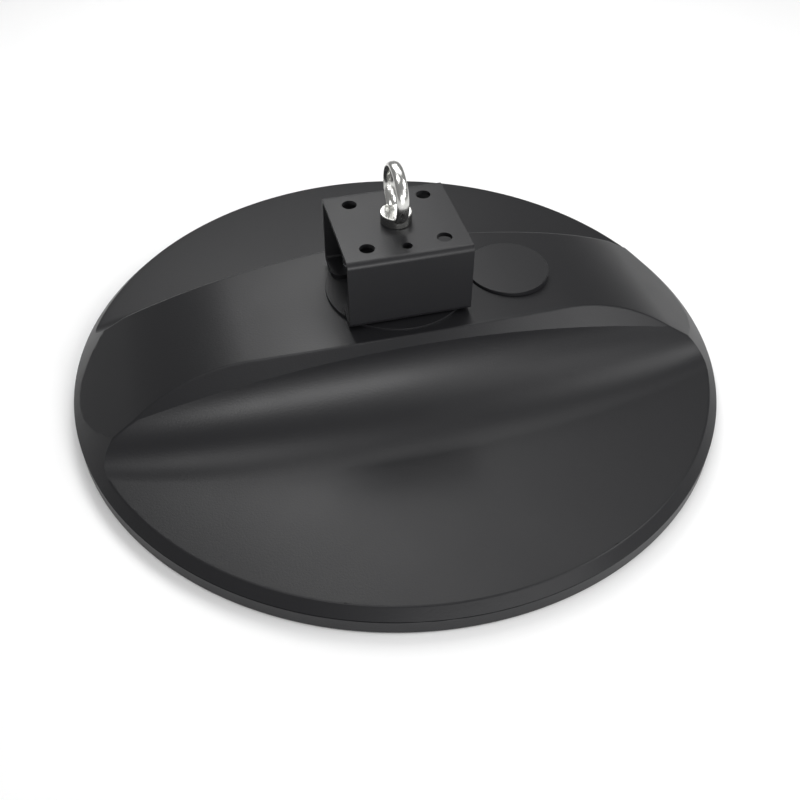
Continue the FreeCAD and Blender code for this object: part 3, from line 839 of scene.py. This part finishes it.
@dataclass
class PortCover:
    """Flat round cover with a broken edge, on a plug with a seal groove."""

    x: float = 56.6
    r: float = 20.2
    seat_z: float = 48.9
    thick: float = 3.0
    edge: float = 0.5
    rim_edge: float = 0.2
    plug_edge: float = 0.3
    plug_r: float = 12.7
    plug_wall: float = 2.0
    plug_len: float = 4.5
    groove_in: float = 13.3
    groove_out: float = 15.8
    groove_h: float = 1.0

    def build(self) -> None:
        """Builds the cover and lets it stand for its node."""
        z = self.seat_z
        inner = self.plug_r - self.plug_wall
        tip = z - self.plug_len
        outline = rounded([(0, z, 0), (inner, z, 0), (inner, tip, self.plug_edge),
                           (self.plug_r, tip, self.plug_edge), (self.plug_r, z, 0),
                           (self.groove_in, z, 0), (self.groove_in, z + self.groove_h, 0),
                           (self.groove_out, z + self.groove_h, 0), (self.groove_out, z, 0),
                           (self.r, z, self.rim_edge), (self.r, z + self.thick, self.edge),
                           (0, z + self.thick, 0)])
        made = lathe("round_port_cover", outline, 144, (self.x, 0))
        stand_in(made, Surface.POWDER_COAT, "port_cover")


@dataclass
class GlandCap:
    """Domed nut of the cable gland, with ribs for the fingers."""

    z: float = 30.0
    start: float = 62.97
    length: float = 13.0
    r: float = 10.0
    dome_h: float = 4.0
    crown_w: float = 2.0
    mouth_r: float = 4.5
    mouth_h: float = 2.0
    bore_r: float = 7.6
    rib_count: int = 24
    rib_depth: float = 0.5
    rib_skin: float = 0.05

    def build(self) -> None:
        """Builds the cap and lets it stand for its node."""
        end = self.start + self.length
        dome = end - self.dome_h
        outline = rounded([(self.bore_r, self.start, 0), (self.r, self.start, 0.3),
                           (self.r, dome, 1.5), (self.mouth_r + self.crown_w, end, 0.8),
                           (self.mouth_r, end, 0.4), (self.mouth_r, end - self.mouth_h, 0),
                           (self.bore_r, dome, 0)])
        made = lathe("gland_dome_nut", outline, 96)
        ribs = made.modifiers.new("ribs", "NODES")
        ribs.node_group = self.rib_tree()
        settle(made)
        stand_in(tipped(made, self.z), Surface.NYLON, "gland_cap")

    def rib_tree(self) -> Tree:
        """Builds the tree that sinks flutes between the ribs of the straight part."""
        tree, entry = new_tree("cap_ribs", ("Geometry", "NodeSocketGeometry"))

        def maths(kind: str, operation: str, inputs: dict) -> Node:
            return add_node(tree, "ShaderNode" + kind, inputs, operation=operation)

        place = add_node(tree, "GeometryNodeInputPosition").outputs[0]
        parts = add_node(tree, "ShaderNodeSeparateXYZ", {0: place})
        x, y = parts.outputs["X"], parts.outputs["Y"]
        turn = maths("Math", "ARCTAN2", {0: y, 1: x})
        wave = maths("Math", "MULTIPLY", {0: turn.outputs[0], 1: float(self.rib_count)})
        wave = maths("Math", "COSINE", {0: wave.outputs[0]})
        dip = add_node(tree, "ShaderNodeMapRange",
                       {"Value": wave.outputs[0], "From Min": -1.0, "From Max": 0.0,
                        "To Min": -self.rib_depth * MM, "To Max": 0.0})
        flat = add_node(tree, "ShaderNodeCombineXYZ", {"X": x, "Y": y})
        far = maths("VectorMath", "LENGTH", {0: flat.outputs[0]})
        outside = maths("Math", "GREATER_THAN",
                        {0: far.outputs["Value"], 1: (self.r - self.rib_skin) * MM})
        ray = maths("VectorMath", "NORMALIZE", {0: flat.outputs[0]})
        shift = maths("VectorMath", "SCALE", {0: ray.outputs[0], "Scale": dip.outputs["Result"]})
        moved = add_node(tree, "GeometryNodeSetPosition",
                         {"Geometry": entry.outputs[0], "Selection": outside.outputs[0],
                          "Offset": shift.outputs[0]})
        end_tree(tree, moved.outputs[0], Surface.NYLON.value.material())
        return tree


@dataclass
class Bezel:
    """Ring below the casting, with a shadow seam, a lip for the diffuser and screw seats."""

    disc_r: float = 160.0
    height: float = 8.3
    inner_r: float = 144.0
    pocket_r: float = 151.2
    lip: float = 1.2
    chamfer: float = 0.8
    seam_h: float = 0.6
    seam_depth: float = 1.2
    screw_count: int = 12
    screw_ring_r: float = 154.6
    head_hole_r: float = 3.1
    head_depth: float = 2.6
    screw_hole_r: float = 1.65
    rim_edge: float = 0.4
    edge: float = 0.3
    lip_edge: float = 0.2
    past: float = 1.0

    def build(self) -> None:
        """Builds the bezel and lets it stand for its node."""
        seam_z = self.height - self.seam_h
        outline = rounded([(self.inner_r, 0, self.edge),
                           (self.disc_r - self.chamfer, 0, self.rim_edge),
                           (self.disc_r, self.chamfer, self.rim_edge),
                           (self.disc_r, seam_z, self.edge),
                           (self.disc_r - self.seam_depth, seam_z, 0),
                           (self.disc_r - self.seam_depth, self.height, 0),
                           (self.pocket_r, self.height, 0), (self.pocket_r, self.lip, 0),
                           (self.inner_r, self.lip, self.lip_edge)], 3)
        made = lathe("bezel_ring", outline, 360)
        tools = []
        for i in range(self.screw_count):
            turn = 2 * math.pi * (i + 0.5) / self.screw_count
            at = (self.screw_ring_r * math.cos(turn), self.screw_ring_r * math.sin(turn))
            step = [(0, -self.past), (self.head_hole_r, -self.past),
                    (self.head_hole_r, self.head_depth), (self.screw_hole_r, self.head_depth),
                    (self.screw_hole_r, self.height + self.past), (0, self.height + self.past)]
            tools.append(lathe(f"seat_{i}", step, 32, at))
        combine(made, tools, "DIFFERENCE")
        stand_in(made, Surface.POWDER_COAT, "bezel")


# Fasteners and chips, set on their places

def solids_of(node: str) -> list[tuple[float, float, float, float]]:
    """Finds the separate solids of a CAD node.

    Args:
        node: The node's name.

    Returns:
        Middle x, middle y, lowest and highest z of each solid, in millimetres.
    """
    shape = bmesh.new()
    shape.from_mesh(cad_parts[node].data)
    bmesh.ops.remove_doubles(shape, verts=shape.verts, dist=MERGE_M)
    found = []
    seen: set[int] = set()
    for seed in shape.verts:
        if seed.index in seen:
            continue
        group, queue = [], [seed]
        seen.add(seed.index)
        while queue:
            corner = queue.pop()
            group.append(corner.co / MM)
            for edge in corner.link_edges:
                other = edge.other_vert(corner)
                if other.index not in seen:
                    seen.add(other.index)
                    queue.append(other)
        lo, hi = (Vector(map(pick, zip(*group))) for pick in (min, max))
        found.append(((lo.x + hi.x) / 2, (lo.y + hi.y) / 2, lo.z, hi.z))
    shape.free()
    return found


class Recess(Enum):
    """The drive in a screw's head."""

    CROSS = "cross"
    HEX = "hex"


@dataclass
class Fastener:
    """A screw as bought: head, drive recess and threaded shank, built at the origin."""

    head_r: float
    head_h: float
    shank_r: float
    length: float
    recess: Recess
    pitch: float
    domed: float

    def template(self, name: str) -> Piece:
        """Builds one screw, head down, with the head's seat at height zero.

        Args:
            name: The object's name.

        Returns:
            The closed screw.
        """
        root = self.shank_r - 0.5 * self.pitch
        corners = [(0, -self.head_h, 0), (self.head_r, -self.head_h, self.head_h * self.domed),
                   (self.head_r, 0, 0.1), (self.shank_r, 0, 0)]
        turns = int((self.length - self.pitch) / self.pitch)
        for i in range(turns):
            foot = self.pitch / 2 + i * self.pitch
            corners.append((self.shank_r, foot, 0))
            corners.append((root, foot + self.pitch / 2, 0))
        corners += [(root, self.length, 0), (0, self.length, 0)]
        made = lathe(name, rounded(corners, 3), 32)
        return combine(made, self.drive(), "DIFFERENCE")

    def drive(self) -> list[Piece]:
        """Cutters for the recess in the head."""
        depth = 0.55 * self.head_h
        if self.recess is Recess.HEX:
            r = self.head_r * 0.53
            return [cylinder("hex", r, -self.head_h - 1, depth - self.head_h, 6)]
        tools = []
        for turn in (0, math.pi / 2):
            long, wide = self.head_r * 0.52, self.head_r * 0.12
            tool = loft(f"slot_{turn:.0f}", [
                [(-long * k, -wide, z), (long * k, -wide, z), (long * k, wide, z),
                 (-long * k, wide, z)]
                for z, k in ((-self.head_h - 0.5, 1.15), (depth - self.head_h, 0.6))])
            tool.data.transform(Matrix.Rotation(turn, 4, "Z"))
            tools.append(tool)
        return tools


def places_tree() -> Tree:
    """Builds the tree that sets copies of one part on many places."""
    tree, entry = new_tree(
        "set_on_places", ("Places", "NodeSocketGeometry"), ("Part", "NodeSocketObject"),
        ("Finish", "NodeSocketMaterial"), ("Turn", "NodeSocketFloat"), ("Seed", "NodeSocketInt"))
    part = add_node(tree, "GeometryNodeObjectInfo", {"Object": entry.outputs["Part"]})
    turn = add_node(tree, "FunctionNodeRandomValue", {"Seed": entry.outputs["Seed"]},
                    data_type="FLOAT")
    most = [s for s in turn.inputs if s.name == "Max" and s.type == "VALUE"][0]
    tree.links.new(entry.outputs["Turn"], most)
    value = [s for s in turn.outputs if s.type == "VALUE"][0]
    spin = add_node(tree, "ShaderNodeCombineXYZ", {"Z": value})
    copies = add_node(tree, "GeometryNodeInstanceOnPoints",
                      {"Points": entry.outputs["Places"], "Instance": part.outputs["Geometry"],
                       "Rotation": spin.outputs[0]})
    end_tree(tree, copies.outputs[0], entry.outputs["Finish"])
    return tree


@dataclass
class SmallParts:
    """Every screw, washer and light chip, placed where the frame has them."""

    tree: Tree = field(default_factory=places_tree)

    def lay(self, name: str, part: Piece, places: Sequence[Sequence[float]],
            surface: Surface, turn: float, seed: int, node: str) -> None:
        """Sets the part on every place and lets the result stand for a node.

        Args:
            name: The piece's name.
            part: The small part, built at the origin.
            places: Places in millimetres.
            surface: The parts' finish.
            turn: Greatest turn about Z, in radians.
            seed: Seed of the turns.
            node: The node that it replaces.
        """
        made = object_from(name, places, [])
        step = made.modifiers.new("places", "NODES")
        step.node_group = self.tree
        keys = {s.name: s.identifier for s in self.tree.interface.items_tree
                if s.in_out == "INPUT"}
        step[keys["Part"]] = part
        step[keys["Finish"]] = surface.value.material()
        step[keys["Turn"]] = turn
        step[keys["Seed"]] = seed
        settle(made)
        bpy.data.objects.remove(part)
        stand_in(made, surface, node)

    def build(self) -> None:
        """Builds all the sets."""
        self.hanging_screws()
        self.cap_screws()
        self.spring_washers()
        self.emitters()

    def hanging_screws(self) -> None:
        """Screws with crossed slots, whose heads hang below their seat."""
        cross, domed = Recess.CROSS, 0.45
        for node, screw, seat, seed in (
                ("bezel_screws", Fastener(2.8, 2.0, 1.5, 8.5, cross, 0.5, domed), 2.6, 3),
                ("plate_screws", Fastener(3.8, 2.2, 2.0, 14.0, cross, 0.7, domed), 6.7, 5),
                ("board_screws", Fastener(2.8, 1.3, 1.5, 4.8, cross, 0.5, domed), 4.9, 7),
                ("driver_screws", Fastener(3.5, 2.4, 2.0, 6.0, cross, 0.7, domed), 38.4, 9)):
            places = [(x, y, seat) for x, y, _, _ in solids_of(node)]
            self.lay(node + "_set", screw.template(node + "_one"), places, Surface.ZINC, math.pi,
                     seed, node)

    def cap_screws(self) -> None:
        """Socket screws of the bracket, heads up."""
        size = Fastener(4.25, 5.0, 2.5, 12.0, Recess.HEX, 0.8, 0.1)
        screw = size.template("cap_screw")
        screw.data.transform(Matrix.Rotation(math.pi, 4, "X"))
        places = [(x, y, high - size.head_h) for x, y, _, high in solids_of("bracket_screws")]
        self.lay("bracket_cap_screws", screw, places, Surface.ZINC, math.pi, 11,
                 "bracket_screws")

    def spring_washers(self) -> None:
        """Split spring washers under the cap screws."""
        inner, outer, thick, edge, half_gap = 2.6, 4.25, 1.3, 0.15, 0.3
        washer = lathe("spring_washer", rounded([(inner, 0, 0), (outer, 0, edge),
                                                 (outer, thick, edge), (inner, thick, 0)]), 48)
        split = loft("split", [[(x, -half_gap, -1), (x, -half_gap, 2), (x, half_gap, 2),
                                (x, half_gap, -1)] for x in (2, 5)])
        combine(washer, [split], "DIFFERENCE")
        places = [(x, y, low) for x, y, low, _ in solids_of("bracket_washers")]
        self.lay("bracket_spring_washers", washer, places, Surface.ZINC, math.pi, 13,
                 "bracket_washers")

    def emitters(self) -> None:
        """Light chips with a shallow dome of phosphor."""
        half, side, dome = 1.5, -0.35, -0.6
        chip = lathe("chip", [(0, 0), (half, 0), (half, side), (half * 0.8, dome), (0, dome)], 12)
        places = [(x, y, high) for x, y, _, high in solids_of("led_emitters")]
        self.lay("light_chips", chip, places, Surface.PHOSPHOR, 0.0, 0, "led_emitters")


# Plain nodes and studio

def dress_plain_nodes() -> None:
    """Gives the nodes that need no finer shape their finish."""
    for surface, nodes in PLAIN_NODES.items():
        for node in nodes:
            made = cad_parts[node]
            made.data.materials.clear()
            made.data.materials.append(surface.value.material())
        log.info("%s: %s", surface.value.name, ", ".join(nodes))


@dataclass
class SoftBox:
    """One rectangular studio light that faces the light fitting."""

    name: str
    azimuth_deg: float
    elevation_deg: float
    distance: float
    width: float
    height: float
    watts: float

    def hang(self, target: Vector) -> None:
        """Hangs the light and turns it to its target.

        Args:
            target: Where it looks, in metres.
        """
        lamp = bpy.data.lights.new(self.name, "AREA")
        lamp.shape = "RECTANGLE"
        lamp.size = self.width
        lamp.size_y = self.height
        lamp.energy = self.watts
        made = bpy.data.objects.new(self.name, lamp)
        bpy.context.scene.collection.objects.link(made)
        a, e = math.radians(self.azimuth_deg), math.radians(self.elevation_deg)
        ray = Vector((math.sin(a) * math.cos(e), math.cos(a) * math.cos(e), math.sin(e)))
        made.location = target + self.distance * ray
        made.rotation_euler = (target - made.location).to_track_quat("-Z", "Y").to_euler()


@dataclass
class Studio:
    """Pale floor, soft boxes and the camera."""

    floor_half: float = 10.0
    floor_colour: str = "#f6f6f6"
    sky: float = 0.3
    aim: tuple[float, float, float] = (0.0, 0.0, 0.03)
    camera_at: tuple[float, float, float] = (-94.88, -362.5, 341.87)
    camera_look: tuple[float, float, float] = (0.18503, 0.68961, -0.70014)
    camera_roll_deg: float = 0.34
    focal_px: float = 979.86
    frame_px: float = 800.0
    sensor_mm: float = 36.0
    boxes: tuple[SoftBox, ...] = (
        SoftBox("back_box", 0, 45, 0.7, 0.35, 0.25, 1.24),
        SoftBox("key_box", 10, 64, 0.5, 0.25, 0.25, 0.5),
        SoftBox("back_right_box", 45, 60, 1.7, 0.7, 0.7, 3.1),
        SoftBox("right_box", 115, 42, 1.7, 0.7, 0.7, 8.3),
        SoftBox("front_right_box", 150, 25, 1.7, 0.7, 0.7, 4.9),
        SoftBox("front_low_box", 180, 8, 1.7, 0.7, 0.5, 15.4),
        SoftBox("overhead_box", 240, 78, 1.7, 0.7, 0.7, 6.5),
    )

    def floor(self) -> None:
        """Lays the pale floor."""
        half = self.floor_half / MM
        made = object_from("studio_floor", [(-half, -half, 0), (half, -half, 0), (half, half, 0),
                                            (-half, half, 0)], [(0, 1, 2, 3)])
        paper = Finish("matt_white_paper", self.floor_colour, 0.9)
        made.data.materials.append(paper.material())

    def world(self) -> None:
        """Sets a faint even sky."""
        world = bpy.data.worlds.new("studio_sky")
        world.use_nodes = True
        sky = world.node_tree.nodes["Background"]
        sky.inputs["Color"].default_value = (1, 1, 1, 1)
        sky.inputs["Strength"].default_value = self.sky
        bpy.context.scene.world = world

    def camera(self) -> None:
        """Sets the camera at the photograph's viewing angle."""
        lens = bpy.data.cameras.new("camera")
        lens.sensor_width = self.sensor_mm
        lens.lens = self.focal_px / self.frame_px * self.sensor_mm
        made = bpy.data.objects.new("camera", lens)
        bpy.context.scene.collection.objects.link(made)
        aim = Vector(self.camera_look).to_track_quat("-Z", "Y").to_matrix().to_4x4()
        roll = Matrix.Rotation(math.radians(self.camera_roll_deg), 4, "Z")
        made.matrix_world = Matrix.Translation(Vector(self.camera_at) * MM) @ aim @ roll
        bpy.context.scene.camera = made
        bpy.context.scene.view_settings.view_transform = "Standard"

    def build(self) -> None:
        """Sets up floor, sky, lights and camera."""
        self.floor()
        self.world()
        for box in self.boxes:
            box.hang(Vector(self.aim))
        self.camera()


def main() -> None:
    """Builds every sub-assembly in order, then the studio."""
    logging.basicConfig(level=logging.INFO, format="%(message)s")
    Casting().build()
    Bracket().build()
    EyeBolt().build()
    PortCover().build()
    GlandCap().build()
    Bezel().build()
    SmallParts().build()
    dress_plain_nodes()
    Studio().build()


if __name__ == "__main__":
    main()
